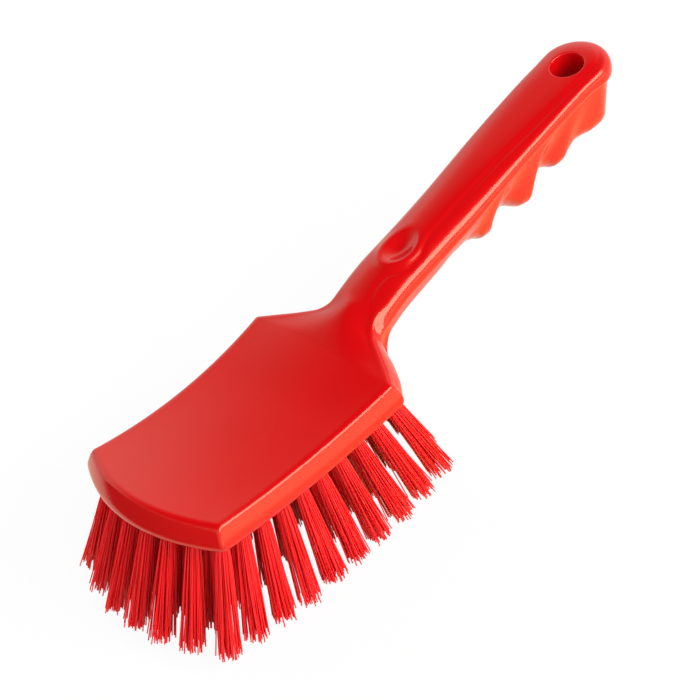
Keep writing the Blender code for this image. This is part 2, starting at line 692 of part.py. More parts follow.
def build():
    for old in list(bpy.data.objects):
        bpy.data.objects.remove(old, do_unlink=True)
    parts = bpy.data.collections.new("scrubbing_brush")
    cutters = bpy.data.collections.new("cutters")
    bpy.context.scene.collection.children.link(parts)
    bpy.context.scene.collection.children.link(cutters)
    stand = bpy.data.objects.new("stand_frame", None)
    parts.objects.link(stand)

    places = tuft_places()
    build_body(parts, cutters, hole_cutter(cutters, places))
    filament = plastic("polyester_filament_red", (0.68, 0.02, 0.03), 0.4)
    for name, face, way in places:
        root, strands, anchor = tuft_meshes(face, way, name)
        tuft = new_object(name, root, parts)
        tuft.data.materials.append(filament)
        fuse(tuft, as_cutter(new_object(f"{name}_strands", strands, cutters)), "strands")
        fuse(tuft, as_cutter(new_object(f"{name}_anchor", anchor, cutters)), "anchor")
    ends = [v.co.x for made in bpy.data.objects if made.type == "MESH" and made.parent is None
            and not made.name.startswith("hang_hole") for v in made.data.vertices]
    stand.location = (-(min(ends) + max(ends)) / 2, 0, BRISTLE_REACH - STANDING_CUT)
    for made in list(parts.objects) + list(cutters.objects):
        if made is not stand:
            made.parent = stand


build()
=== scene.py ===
"""Looks of the hand scrubbing brush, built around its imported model."""

import math
import random

import bmesh
import bpy
import numpy as np
from mathutils import Matrix, Vector


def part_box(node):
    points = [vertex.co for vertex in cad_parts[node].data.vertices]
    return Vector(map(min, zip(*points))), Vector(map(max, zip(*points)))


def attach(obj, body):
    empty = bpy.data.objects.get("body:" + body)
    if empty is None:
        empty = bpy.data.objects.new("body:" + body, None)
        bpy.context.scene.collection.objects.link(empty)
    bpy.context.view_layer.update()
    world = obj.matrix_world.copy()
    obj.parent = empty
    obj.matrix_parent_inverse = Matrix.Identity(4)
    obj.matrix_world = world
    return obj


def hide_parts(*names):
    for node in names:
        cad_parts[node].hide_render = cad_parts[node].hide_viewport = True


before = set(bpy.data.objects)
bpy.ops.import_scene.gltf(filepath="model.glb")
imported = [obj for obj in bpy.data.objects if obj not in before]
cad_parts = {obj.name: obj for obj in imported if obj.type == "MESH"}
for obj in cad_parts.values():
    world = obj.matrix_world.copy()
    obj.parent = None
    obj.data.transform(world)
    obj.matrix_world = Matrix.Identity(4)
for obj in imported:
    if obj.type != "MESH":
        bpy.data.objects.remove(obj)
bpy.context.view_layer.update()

# The moulding.
# Head and handle are one piece of polypropylene, injected into a polished steel mould in one shot.
# So the red goes through and through, the skin is smooth and glossy, and every edge is softly rounded.
LENGTH = 0.2762
HEAD_LENGTH = 0.0997
FRONT_WIDTH = 0.0718
REAR_WIDTH = 0.0748
FRONT_ARC_DEPTH = 0.0107
SIDE_HOLLOW = 0.0015
CORNER_ROUND = 0.0013
SHOULDER_REACH = 0.017
NECK_ROUND = 0.008
NECK_WIDTH = 0.0202
HEAD_THICKNESS = 0.0112
HEAD_DIP = 0.004
FRONT_FLARE = 0.0052
HEAD_FLARE = 0.0038
SHOULDER_FLARE = 0.0058
TOP_EDGE_ROUND = 0.0015
LOWER_EDGE_ROUND = 0.0034
MITRE_REACH = 0.016
HANDLE_RISE = 0.0414
NECK_CROWN = 0.0045
NECK_DEPTH = 0.0205
BARREL_WIDTH = 0.0304
BARREL_DROP = 0.0075
BARREL_UNDERSIDE = 0.0026
BARREL_TUCK = 0.002
KEEL_WIDTH = 0.0198
KEEL_ROUND = 0.0026
KEEL_EDGE_ROUND = 0.0045
SCOOP_LEAN = 0.012
HANG_HOLE_INSET = 0.0192
HANG_HOLE_RADIUS = 0.0072
HANG_HOLE_LIP = 0.0009
HANG_HOLE_SIDES = 96
HANG_HOLE_LIP_STEPS = 8
HANG_HOLE_LIP_LIFT = 0.00002
HANG_HOLE_FACE_STEPS = 4
THUMB_DISTANCE = 0.0505
THUMB_LENGTH = 0.0185
THUMB_WIDTH = 0.0128
THUMB_DEPTH = 0.003
THUMB_BOWL_POWER = 1.4
THUMB_RIM = 0.0007
THUMB_RIM_PLACE = 1.22
THUMB_RIM_SPREAD = 0.2
THUMB_RIM_MEAN = 0.55
THUMB_RIM_LEAN = 0.45
THUMB_DISH_END = 2
STAND_HEIGHT = 0.0568

# Shares of the way from the rear corners to the handle's end, with shares of the size they follow
EDGE_RISE_SHARES = ((0, 0), (0.044, 0.041), (0.073, 0.077), (0.103, 0.135), (0.144, 0.24), (0.22, 0.37),
                    (0.285, 0.425), (0.5, 0.605), (0.924, 0.943), (1, 0.985))
DEPTH_SHARES = ((0, 0), (0.073, 0.35), (0.108, 0.65), (0.144, 0.88), (0.18, 1), (1, 1))
KEEL_LINE_SHARES = ((0.1, -0.28), (0.144, -0.2), (0.18, -0.15), (0.22, -0.1), (0.285, -0.03),
                    (0.337, 0.02), (0.388, 0.068), (0.435, 0.07), (0.474, 0.02), (0.499, -0.038),
                    (0.514, -0.042), (0.534, 0.025), (0.552, 0.084), (0.574, 0.103), (0.597, 0.07),
                    (0.616, 0.017), (0.635, -0.032), (0.656, -0.047), (0.67, -0.008), (0.683, 0.067),
                    (0.7025, 0.161), (0.7213, 0.181), (0.738, 0.161), (0.765, 0.107), (0.78, 0.108),
                    (0.805, 0.164), (0.84, 0.217), (0.866, 0.21), (0.895, 0.19), (0.933, 0.19), (1, 0.2))
CROWN_SHARES = ((0, 0.5), (0.044, 0.85), (0.073, 1), (0.103, 0.85), (0.144, 0.2), (0.22, 0.06), (0.4, 0.06),
                (0.6, 0.15), (1, 0.15))
HEAD_CROWN_SHARES = ((0, 0.24), (0.7, 0.2), (1, 0.5))
BARREL_FORM_SHARES = ((0, 0), (0.05, 0), (0.08, 0.25), (0.105, 0.8), (0.125, 0.97), (0.15, 1), (1, 1))
GRIP_FORM_SHARES = ((0, 0), (0.105, 0.1), (0.16, 0.8), (0.24, 1), (1, 1))
FLARE_SHARES = ((0, 0.2), (0.032, 1), (0.073, 1), (0.114, 0.5), (1, 0.5))
BELL_SHARES = ((0, 0.4), (0.032, 1), (0.103, 1), (0.155, 0), (1, 0))
BARREL_WIDTH_SHARES = ((0, 1.5), (0.06, 1.3), (0.09, 1.11), (0.115, 1), (0.14, 0.955), (0.18, 0.935),
                       (0.23, 0.929), (0.335, 0.924), (0.44, 0.945), (0.54, 0.958), (0.65, 0.974),
                       (0.75, 0.987), (0.86, 0.99), (0.93, 1.03), (1, 1.03))
FLAT_TOP_SHARES = ((0, 1), (0.4, 0.97), (0.53, 0.9), (0.63, 0.8), (0.73, 0.7), (0.83, 0.63), (1, 0.63))
BARREL_DROP_SHARES = ((0, 1), (0.44, 1), (0.54, 0.88), (0.65, 0.77), (0.8, 0.74), (0.88, 0.8),
                      (0.95, 1.05), (1, 1.25))
TUCK_SHARES = ((0, 0.3), (0.335, 0.35), (0.44, 0.6), (0.54, 1), (1, 1))
KEEL_WIDTH_SHARES = ((0, 0.96), (0.3, 0.96), (0.44, 0.87), (0.54, 0.87), (0.7, 0.91), (0.85, 0.97), (1, 1))
TOP_SHARE = 0.72
GROOVE_DEPTH = 0.0004
GROOVE_HALF_WIDTH = 0.00125
GROOVE_REACH_SHARES = ((0.11, 1.2), (0.13, 0.8), (0.15, 0.56), (0.175, 0.45), (0.2, 0.5), (0.225, 0.78),
                       (0.25, 0.98), (0.285, 0.98), (0.32, 0.8), (0.36, 0.73), (0.45, 0.74), (0.57, 0.8),
                       (0.68, 0.93), (0.8, 1.05), (0.93, 1.12), (1, 1.12))
EDGE_SHARE = 0.08
WALL_SWELL_SHARES = (0.45, 1)
WALL_DROP_SHARES = (0.18, 0.7)
WALL_FOOT_SHARE = 0.88
RIDGE_LINE_SHARES = ((0.285, -0.03), (0.388, 0.06), (0.507, -0.033), (0.65, -0.047), (0.77, 0.107),
                     (0.9, 0.19), (1, 0.19))
SCOOP_SHARE = 0.35
MIDDLE_SHARE = 0.5
BEND_LIMIT_SHARE = 0.45

# The mesh is cut finely enough for smooth reflections, about half a millimetre along the grip
FRONT_STEPS = 26
SIDE_STEPS = 70
SHOULDER_STEPS = 24
BEND_STEPS = 7
FLANK_STEPS = 9
GRIP_STEPS = 320
END_STEPS = 36
ACROSS_STEPS = 34
MERGE_DISTANCE = 0.000001
TINY_SHARE = 0.000001
MOULDING_SHARP_ANGLE = math.radians(40)

# How far the hanging hole's cutter stands out beyond the lip, and how far above the face
CUTTER_FLARES = ((0.003, 0.004), (0.0008, 0.0012))


def mix(first, second, share):
    return first + (second - first) * share


def clamp(value, low, high):
    return min(max(value, low), high)


def arch(share):
    """A shallow arch: 0 at both ends of the way, and 1 in its middle."""
    return 4 * share * (1 - share)


def secant(table, i):
    (a, low), (b, high) = table[i], table[i + 1]
    return (high - low) / (b - a)


def knot_slope(table, i):
    """Slope of the smooth curve at one row, zero where the rows turn back."""
    if i == 0:
        return secant(table, 0)
    if i == len(table) - 1:
        return secant(table, i - 1)
    before, after = secant(table, i - 1), secant(table, i)
    if before * after <= 0:
        return 0
    return 2 * before * after / (before + after)


def follow(table, place):
    """Value at a place along a table of (place, value) rows, on a curve that never overshoots."""
    place = clamp(place, table[0][0], table[-1][0])
    i = max(k for k in range(len(table) - 1) if table[k][0] <= place)
    (a, low), (b, high) = table[i], table[i + 1]
    span = b - a
    t = (place - a) / span
    low_part = low * (1 + 2 * t) * (1 - t) ** 2 + high * t * t * (3 - 2 * t)
    turn = knot_slope(table, i) * t * (1 - t) ** 2 - knot_slope(table, i + 1) * t * t * (1 - t)
    return low_part + span * turn


def bend(start, corner, end, steps):
    """Points on the curve that rounds off a corner."""
    shares = [k / steps for k in range(steps + 1)]
    return [start * (1 - t) ** 2 + corner * (2 * t * (1 - t)) + end * t * t for t in shares]


def handle_share(x):
    """How far x lies along the way from the rear corners to the handle's end."""
    return (x - HEAD_LENGTH) / (LENGTH - HEAD_LENGTH)


def side_point(share):
    """A point on the long side of the head, which is slightly hollow."""
    x = mix(FRONT_ARC_DEPTH, HEAD_LENGTH, share)
    y = mix(FRONT_WIDTH, REAR_WIDTH, share) / 2 - SIDE_HOLLOW * arch(share)
    return Vector((x, y))


def end_centre():
    """Middle of the handle's round end."""
    return LENGTH - BARREL_WIDTH / 2


def side_line():
    """Half of the plan's edge line, from the front corner to the start of the round end."""
    head_side = HEAD_LENGTH - FRONT_ARC_DEPTH
    first, last = CORNER_ROUND / head_side, 1 - CORNER_ROUND / head_side
    side = [side_point(mix(first, last, k / SIDE_STEPS)) for k in range(SIDE_STEPS + 1)]
    rear_corner = side_point(1)
    neck = Vector((HEAD_LENGTH + SHOULDER_REACH, NECK_WIDTH / 2))
    shoulder = (neck - rear_corner).normalized()
    shoulder_start = rear_corner + shoulder * CORNER_ROUND
    shoulder_end = neck - shoulder * NECK_ROUND
    line = [shoulder_start.lerp(shoulder_end, k / SHOULDER_STEPS) for k in range(SHOULDER_STEPS + 1)]
    grip_start = neck + Vector((NECK_ROUND, 0))
    grip = [Vector((mix(grip_start.x, end_centre(), k / GRIP_STEPS), NECK_WIDTH / 2))
            for k in range(GRIP_STEPS + 1)]
    rear_bend = bend(side[-1], rear_corner, shoulder_start, BEND_STEPS)
    neck_bend = bend(shoulder_end, neck, grip_start, 3 * BEND_STEPS)
    return side + rear_bend[1:-1] + line + neck_bend[1:-1] + grip


def plan_outline():
    """Half of the plan's edge line, from the middle of the front to the tip of the handle."""
    front_half = FRONT_WIDTH / 2
    last = 1 - CORNER_ROUND / front_half
    shares = [last * k / FRONT_STEPS for k in range(FRONT_STEPS + 1)]
    front = [Vector((FRONT_ARC_DEPTH * t * t, front_half * t)) for t in shares]
    side = side_line()
    corner = bend(front[-1], side_point(0), side[0], BEND_STEPS)
    return front + corner[1:-1] + side


def outward_steps(points, distances):
    """Plan steps out of the outline by the given distances, mitred round the head's corners."""
    squares = [Vector((-1, 0))]
    for before, after in zip(points, points[2:]):
        run = (after - before).normalized()
        squares.append(Vector((-run.y, run.x)))
    squares.append(Vector((0, 1)))
    steps = [square * distance for square, distance in zip(squares, distances)]
    for corner in (side_point(0), side_point(1)):
        gaps = [(p - corner).length for p in points]
        on_corner = [i for i, gap in enumerate(gaps) if gap <= CORNER_ROUND + MERGE_DISTANCE]
        i, j = on_corner[0] - 1, on_corner[-1] + 1
        a, b, turn = squares[i], squares[j], squares[i].dot(squares[j])
        reach_a, reach_b = distances[i] - turn * distances[j], distances[j] - turn * distances[i]
        mitre = (a * reach_a + b * reach_b) / (1 - turn * turn)
        slides = (mitre - a * distances[i], mitre - b * distances[j])
        for k, gap in enumerate(gaps):
            near = max(1 - (gap - CORNER_ROUND) / MITRE_REACH, 0) ** 2
            if i < k < j:
                steps[k] = mitre
            else:
                steps[k] = steps[k] + slides[k >= j] * near
    return steps


EDGE_X, EDGE_Y = np.array(side_line()).T


def half_width(x):
    """Half width of the edge line at x, carried on past its two ends."""
    return float(np.interp(x, EDGE_X, EDGE_Y))


def edge_height(x):
    """Height of the upper edge: the head dips between its corners, and the handle climbs."""
    if x < HEAD_LENGTH:
        share = (x - FRONT_ARC_DEPTH) / (HEAD_LENGTH - FRONT_ARC_DEPTH)
        return -HEAD_DIP * arch(share)
    return HANDLE_RISE * follow(EDGE_RISE_SHARES, handle_share(x))


def thumb_dish(x, y):
    """How far the thumb dish sinks the upper face, with a low rim on its sides and towards the head."""
    along = (x - HEAD_LENGTH - THUMB_DISTANCE) / (THUMB_LENGTH / 2)
    across = y / (THUMB_WIDTH / 2)
    reach = math.hypot(along, across)
    if reach > THUMB_DISH_END:
        return 0
    bowl = THUMB_DEPTH * max(1 - reach * reach, 0) ** THUMB_BOWL_POWER
    rim_side = THUMB_RIM_MEAN - THUMB_RIM_LEAN * along / max(reach, TINY_SHARE)
    rim = THUMB_RIM * rim_side * math.exp(-((reach - THUMB_RIM_PLACE) / THUMB_RIM_SPREAD) ** 2)
    return bowl - rim


def top_height(x, y):
    """Height of the upper face, which is crowned and swells into the neck."""
    if x < HEAD_LENGTH:
        crown = follow(HEAD_CROWN_SHARES, x / HEAD_LENGTH)
    else:
        crown = follow(CROWN_SHARES, handle_share(x))
    hollow = follow(BELL_SHARES, handle_share(x))
    inner = max(1 - (y / half_width(x)) ** 2, 0)
    return edge_height(x) + NECK_CROWN * crown * inner ** (1 + hollow)


def on_top(place):
    """The point of the upper face over a place in the plan."""
    return Vector((place.x, place.y, top_height(place.x, place.y)))


def section_forms(x):
    """How far the section is the handle's, not the plate's: each point of its wall, from the top down."""
    # The barrel's side stands out before the crisp upper edge has faded and before the keel has formed
    side = follow(BARREL_FORM_SHARES, handle_share(x))
    rest = follow(GRIP_FORM_SHARES, handle_share(x))
    edge = [mix(rest, side, k / BEND_STEPS) for k in range(BEND_STEPS + 1)]
    flank = [mix(side, rest, k / FLANK_STEPS) for k in range(1, FLANK_STEPS)]
    whole = ACROSS_STEPS + BEND_STEPS + 1
    return [rest] * whole + edge + [side] * (BEND_STEPS + 1) + flank + [rest] * whole


def plate_flare(x):
    """How far the lower edge of the head and shoulders stands out from the upper edge."""
    if x < HEAD_LENGTH:
        return HEAD_FLARE
    return mix(HEAD_FLARE, SHOULDER_FLARE, follow(FLARE_SHARES, handle_share(x)))


def keel_line(x):
    """Height of the keel's lower corners, down over the finger ridges and up into the hollows."""
    return HANDLE_RISE * follow(KEEL_LINE_SHARES, handle_share(x))


def scoop(x):
    """How far the keel's side is scooped in, beside each finger hollow."""
    share = handle_share(x)
    hollow = follow(KEEL_LINE_SHARES, share) - follow(RIDGE_LINE_SHARES, share)
    return SCOOP_SHARE * HANDLE_RISE * max(hollow, 0)


def keel_half(x):
    """Half width of the keel at its lower corners."""
    return KEEL_WIDTH / 2 * follow(KEEL_WIDTH_SHARES, handle_share(x)) - scoop(x)


def bottom_height(x, y):
    """Height of the underside: the bristle face of the head, then the handle's keel."""
    if x < HEAD_LENGTH:
        return edge_height(x) - HEAD_THICKNESS
    form = follow(GRIP_FORM_SHARES, handle_share(x))
    depth = mix(HEAD_THICKNESS, NECK_DEPTH, follow(DEPTH_SHARES, handle_share(x)))
    keel = keel_line(x) - KEEL_ROUND * (1 - (y / keel_half(x)) ** 2)
    return mix(edge_height(x) - depth, keel, form)


def on_underside(place):
    """The point of the underside below a place in the plan."""
    return Vector((place.x, place.y, bottom_height(place.x, place.y)))


def underside(foot):
    """The section's points from the foot of its wall to the middle of the underside."""
    across = [foot.y * (1 - k / ACROSS_STEPS) for k in range(1, ACROSS_STEPS + 1)]
    return [Vector((foot.x, y, bottom_height(foot.x, y))) for y in across]


def plate_section(point, step, flare):
    """Half a section of the head's plate: its upper face, a crisp edge and a wall that flares."""
    top = on_top(point - step * TOP_EDGE_ROUND)
    edge = on_top(point + flare * EDGE_SHARE)
    low = on_underside(point + flare * WALL_FOOT_SHARE)
    foot = on_underside(low.to_2d() - step * LOWER_EDGE_ROUND)
    fall = edge.z - low.z
    upper, lower = [Vector((*(point + flare * swell), edge.z - fall * drop))
                    for swell, drop in zip(WALL_SWELL_SHARES, WALL_DROP_SHARES)]
    down, on, under = upper - edge, lower - upper, low - lower
    low_cut = min(LOWER_EDGE_ROUND, under.length * BEND_LIMIT_SHARE)
    across = [top.y * k / ACROSS_STEPS for k in range(ACROSS_STEPS)]
    points = [Vector((top.x, y, top_height(top.x, y))) for y in across]
    points += bend(top, edge, edge + down.normalized() * TOP_EDGE_ROUND, BEND_STEPS)
    points += bend(upper - down * BEND_LIMIT_SHARE, upper, upper + on * BEND_LIMIT_SHARE, BEND_STEPS)
    points += bend(lower - on * BEND_LIMIT_SHARE, lower, lower + under * BEND_LIMIT_SHARE, BEND_STEPS)
    last = low - under.normalized() * low_cut
    points += [points[-1].lerp(last, k / FLANK_STEPS) for k in range(1, FLANK_STEPS)]
    points += bend(last, low, foot, BEND_STEPS)
    return points + underside(foot)


def crown_height(x):
    """Height of the handle's upper face along its middle."""
    return edge_height(x) + NECK_CROWN * follow(CROWN_SHARES, handle_share(x))


def grip_top(x, y):
    """Height of the barrel's upper face, near the middle of the handle."""
    half = BARREL_WIDTH / 2 * follow(BARREL_WIDTH_SHARES, handle_share(x))
    drop = BARREL_DROP * follow(BARREL_DROP_SHARES, handle_share(x))
    power = follow(FLAT_TOP_SHARES, handle_share(x))
    return crown_height(x) - drop * (1 - max(1 - abs(y / half) ** (2 / power), 0) ** (power / 2))


def groove(x, reach):
    """Depth of the shallow groove that runs round the flat of the handle's top, and round the thumb dish."""
    middle = NECK_WIDTH / 2 * follow(GROOVE_REACH_SHARES, handle_share(x))
    return GROOVE_DEPTH * math.exp(-((reach - middle) / GROOVE_HALF_WIDTH) ** 2)


def barrel_section(spine, way, groove_share):
    """Half a section of the grip: a flattened barrel on top, and a narrower keel that the fingers hold."""
    share = handle_share(spine.x)
    half = BARREL_WIDTH / 2 * follow(BARREL_WIDTH_SHARES, share)
    drop = BARREL_DROP * follow(BARREL_DROP_SHARES, handle_share(spine.x + way.x * half))
    tuck = BARREL_TUCK * follow(TUCK_SHARES, share)
    power = follow(FLAT_TOP_SHARES, share)

    def at(reach, fall):
        place = spine + way * reach
        sunk = thumb_dish(place.x, place.y) + groove(spine.x, reach) * groove_share * way.y ** 2
        return Vector((place.x, place.y, crown_height(place.x) - fall - sunk))

    points = []
    last_top = math.asin(TOP_SHARE ** (1 / power))
    steps = 2 * BEND_STEPS + 1
    leans = [math.asin((TOP_SHARE * k / ACROSS_STEPS) ** (1 / power)) for k in range(ACROSS_STEPS)]
    leans += [mix(last_top, math.pi / 2, k / steps) for k in range(steps + 1)]
    for lean in leans:
        points.append(at(half * math.sin(lean) ** power, drop * (1 - max(math.cos(lean), 0) ** power)))
    for k in range(1, BEND_STEPS + 2):
        lean = math.pi / 2 * k / (BEND_STEPS + 1)
        points.append(at(half - tuck * (1 - math.cos(lean)), drop + BARREL_UNDERSIDE * math.sin(lean)))
    keel = keel_half(spine.x)
    low = on_underside(spine + way * keel)
    foot = on_underside(spine + way * (keel - KEEL_EDGE_ROUND))
    crease = points[-1]
    last = low + (crease - low).normalized() * KEEL_EDGE_ROUND
    # The scoops lean towards the handle's end as they run up the flank, and fade out below the barrel
    for k in range(1, FLANK_STEPS):
        rise = 1 - k / FLANK_STEPS
        depth = (scoop(spine.x - SCOOP_LEAN * rise) - scoop(spine.x)) * (1 - rise) * way.y ** 2
        points.append(last.lerp(crease, rise) - (way * depth).to_3d())
    points += bend(last, low, foot, BEND_STEPS)
    return points + underside(foot)


def sections(groove_share):
    """All the half sections, from the middle of the front to the tip of the handle."""
    rings = []
    outline = plan_outline()
    flares = [FRONT_FLARE if k <= FRONT_STEPS else plate_flare(p.x) for k, p in enumerate(outline)]
    for point, step, flare in zip(outline, outward_steps(outline, [1] * len(outline)),
                                  outward_steps(outline, flares)):
        ring = plate_section(point, step, flare)
        if point.x > HEAD_LENGTH:
            barrel = barrel_section(Vector((point.x, 0)), Vector((0, 1)), groove_share)
            ring = [a.lerp(b, form) for a, b, form in zip(ring, barrel, section_forms(point.x))]
        rings.append(ring)
    for k in range(1, END_STEPS + 1):
        turn = math.pi / 2 * k / END_STEPS
        way = Vector((math.sin(turn), math.cos(turn)))
        ring = barrel_section(Vector((end_centre(), 0)), way, groove_share)
        if k == END_STEPS:
            ring = [Vector((p.x, 0, p.z)) for p in ring]
        rings.append(ring)
    return rings


def mesh_from(bm, name):
    mesh = bpy.data.meshes.new(name)
    bm.to_mesh(mesh)
    bm.free()
    return mesh


def new_object(name, data):
    """An object in the scene, around its mesh, lamp or camera."""
    made = bpy.data.objects.new(name, data)
    bpy.context.scene.collection.objects.link(made)
    return made


def loft_whole(left, right, name):
    """A closed skin over two rows of half sections, one to each side of the middle plane."""
    bm = bmesh.new()
    for side, rings in ((1, left), (-1, right)):
        grid = [[bm.verts.new((p.x, p.y * side, p.z)) for p in ring] for ring in rings]
        for low, high in zip(grid, grid[1:]):
            for j in range(len(low) - 1):
                corners = (low[j], low[j + 1], high[j + 1], high[j])
                bm.faces.new(corners if side > 0 else corners[::-1])
    bmesh.ops.remove_doubles(bm, verts=bm.verts, dist=MERGE_DISTANCE)
    bmesh.ops.dissolve_degenerate(bm, edges=bm.edges, dist=MERGE_DISTANCE)
    bmesh.ops.recalc_face_normals(bm, faces=bm.faces)
    return mesh_from(bm, name)


def tuft_frame(way):
    """Directions across the brush and along it, both square to the tuft."""
    across = Vector((0, 1, 0)) - way * way.y
    across.normalize()
    return across, across.cross(way)


def round_ring(centre, way, radius, sides):
    """Corners of a ring round a tuft's axis."""
    across, along = tuft_frame(way)
    turns = [2 * math.pi * (k + MIDDLE_SHARE) / sides for k in range(sides)]
    return [centre + (across * math.cos(t) + along * math.sin(t)) * radius for t in turns]


def prism(bm, rings):
    """A closed prism over rings of corners, ends included."""
    loops = [[bm.verts.new(p) for p in ring] for ring in rings]
    for low, high in zip(loops, loops[1:]):
        for k in range(len(low)):
            nxt = (k + 1) % len(low)
            bm.faces.new((low[k], low[nxt], high[nxt], high[k]))
    bm.faces.new(loops[0])
    bm.faces.new(loops[-1])


def hang_hole_rings():
    """Rings of the bore: its upper lip follows the crowned face, so that the face rolls into it."""
    x = LENGTH - HANG_HOLE_INSET
    run = HANG_HOLE_RADIUS
    pitch = math.atan2(crown_height(x + run) - crown_height(x - run), 2 * run)
    axis = Vector((-math.sin(pitch), 0, math.cos(pitch)))
    along = Vector((math.cos(pitch), 0, math.sin(pitch)))
    middle = Vector((x, 0, crown_height(x)))
    depth = crown_height(x) - bottom_height(x, 0)
    outer = HANG_HOLE_RADIUS + HANG_HOLE_LIP

    def ring(radius, drop, face_steps):
        points = []
        for k in range(HANG_HOLE_SIDES):
            t = 2 * math.pi * k / HANG_HOLE_SIDES
            place = middle + along * (radius * math.cos(t)) + Vector((0, radius * math.sin(t), 0))
            # Each step brings the point closer to the crowned face
            for _ in range(face_steps):
                place += axis * ((grip_top(place.x, place.y) - place.z) / axis.z)
            points.append(place - axis * drop)
        return points

    turns = [math.pi / 2 * k / HANG_HOLE_LIP_STEPS for k in range(HANG_HOLE_LIP_STEPS + 1)]
    lip = [(HANG_HOLE_RADIUS + HANG_HOLE_LIP * (1 - math.sin(t)), HANG_HOLE_LIP * (1 - math.cos(t)))
           for t in turns]
    rings = [ring(outer + out, -above, HANG_HOLE_FACE_STEPS) for out, above in CUTTER_FLARES]
    rings += [ring(radius, drop - HANG_HOLE_LIP_LIFT, HANG_HOLE_FACE_STEPS) for radius, drop in lip]
    rings += [ring(radius, depth - drop, 0) for radius, drop in reversed(lip)]
    out, below = CUTTER_FLARES[0]
    rings.append(ring(outer + out, depth + below, 0))
    return rings


# Tufts sit in blind holes; each root place and tip place lies in a field that splays outwards
TUFTS_IN_ROWS = (7, 6, 5, 6, 5, 6, 5, 6, 5, 7)
ROOT_FRONT_MARGIN = 0.0047
ROOT_REAR_MARGIN = 0.0062
ROOT_FRONT_INSET = 0.0021
ROOT_REAR_OVERHANG = 0.0011
ROOT_FRONT_BULGE = 0.0082
ROOT_REAR_BULGE = 0.0075
SIDE_SPLAY = 0.009
FRONT_SPLAY = 0.0173
REAR_SPLAY = 0.0122
TIP_FRONT_BULGE = 0.0118
TIP_REAR_BULGE = 0.0105
TIP_SIDE_BULGE = 0.0031
BRISTLE_REACH = 0.0573
STANDING_CUT = 0.0007
TRIM_RADIUS = 0.5
TRIM_CENTRE_SHARE = 0.598
TUFT_RADIUS = 0.00235
HOLE_CLEARANCE = 0.0003
HOLE_DEPTH = 0.0082
HOLE_SIDES = 20
HOLE_CUTTER_START = 0.004


def trim_height(x):
    """Height of the trimmed bristle tips, which lie on a long arc with a flat cut to stand on."""
    arc = (x - HEAD_LENGTH * TRIM_CENTRE_SHARE) ** 2 / (2 * TRIM_RADIUS)
    return max(arc, STANDING_CUT) - BRISTLE_REACH


def in_field(along, across, width, front, rear, bulges):
    """A place in a field of tufts, given as shares along the head and across it."""
    front_bulge, rear_bulge, side_bulge = bulges
    bulge = mix(-front_bulge, rear_bulge, along) * (1 - across ** 2)
    half = width / 2 + side_bulge * arch(along)
    return Vector((mix(front, rear, along) + bulge, half * across))


def tuft_places():
    """Name of each tuft, where it leaves the bristle face, and where its tip ends."""
    places = []
    front_width, rear_width = FRONT_WIDTH - 2 * ROOT_FRONT_MARGIN, REAR_WIDTH - 2 * ROOT_REAR_MARGIN
    front, rear = FRONT_ARC_DEPTH + ROOT_FRONT_INSET, HEAD_LENGTH + ROOT_REAR_OVERHANG
    root_bulges = (ROOT_FRONT_BULGE, ROOT_REAR_BULGE, 0)
    tip_bulges = (TIP_FRONT_BULGE, TIP_REAR_BULGE, TIP_SIDE_BULGE)
    for row, count in enumerate(TUFTS_IN_ROWS):
        along = row / (len(TUFTS_IN_ROWS) - 1)
        root_width = mix(front_width, rear_width, along)
        for k in range(count):
            across = 2 * k / (count - 1) - 1
            root = in_field(along, across, root_width, front, rear, root_bulges)
            tip = in_field(along, across, root_width + 2 * SIDE_SPLAY, front - FRONT_SPLAY,
                           rear + REAR_SPLAY, tip_bulges)
            end = Vector((tip.x, tip.y, trim_height(tip.x)))
            places.append((f"tuft_row_{row + 1}_{k + 1}", on_underside(root), end))
    return places


def cutter_from(groups, name):
    """A hidden object of closed prisms, one for each group of rings."""
    bm = bmesh.new()
    for rings in groups:
        prism(bm, rings)
    bmesh.ops.recalc_face_normals(bm, faces=bm.faces)
    cutter = new_object(name, mesh_from(bm, name))
    cutter.hide_render = True
    return cutter


def tuft_hole_rings():
    """Two rings for each blind hole, which leans with its tuft."""
    groups = []
    radius = TUFT_RADIUS + HOLE_CLEARANCE
    for _, face, tip in tuft_places():
        way = (tip - face).normalized()
        groups.append([round_ring(face + way * lift, way, radius, HOLE_SIDES)
                       for lift in (-HOLE_DEPTH, HOLE_CUTTER_START)])
    return groups


moulding = new_object("moulding", loft_whole(sections(0), sections(1), "moulding"))
cutters = (cutter_from([hang_hole_rings()], "hang_hole_cutter"),
           cutter_from(tuft_hole_rings(), "tuft_hole_cutter"))
for cutter in cutters:
    cut = moulding.modifiers.new(cutter.name, "BOOLEAN")
    cut.operation = "DIFFERENCE"
    cut.solver = "EXACT"
    cut.object = cutter
evaluated = moulding.evaluated_get(bpy.context.evaluated_depsgraph_get())
finished = bpy.data.meshes.new_from_object(evaluated)
moulding.modifiers.clear()
moulding.data = finished
for cutter in cutters:
    bpy.data.objects.remove(cutter, do_unlink=True)

# The brush stands on its tips, with the middle of its whole length at the origin
_, cad_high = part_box("head_and_handle")
shift = Vector((cad_high.x - max(v.co.x for v in finished.vertices), 0, STAND_HEIGHT))
finished.transform(Matrix.Translation(shift))
finished.shade_smooth()
finished.set_sharp_from_angle(angle=MOULDING_SHARP_ANGLE)


def linear(hex_colour):
    """An sRGB hex colour as the linear colour that the shaders take."""
    channels = [int(hex_colour[k:k + 2], 16) / 255 for k in (1, 3, 5)]
    lit = [c / 12.92 if c <= 0.04045 else ((c + 0.055) / 1.055) ** 2.4 for c in channels]
    return (*lit, 1)


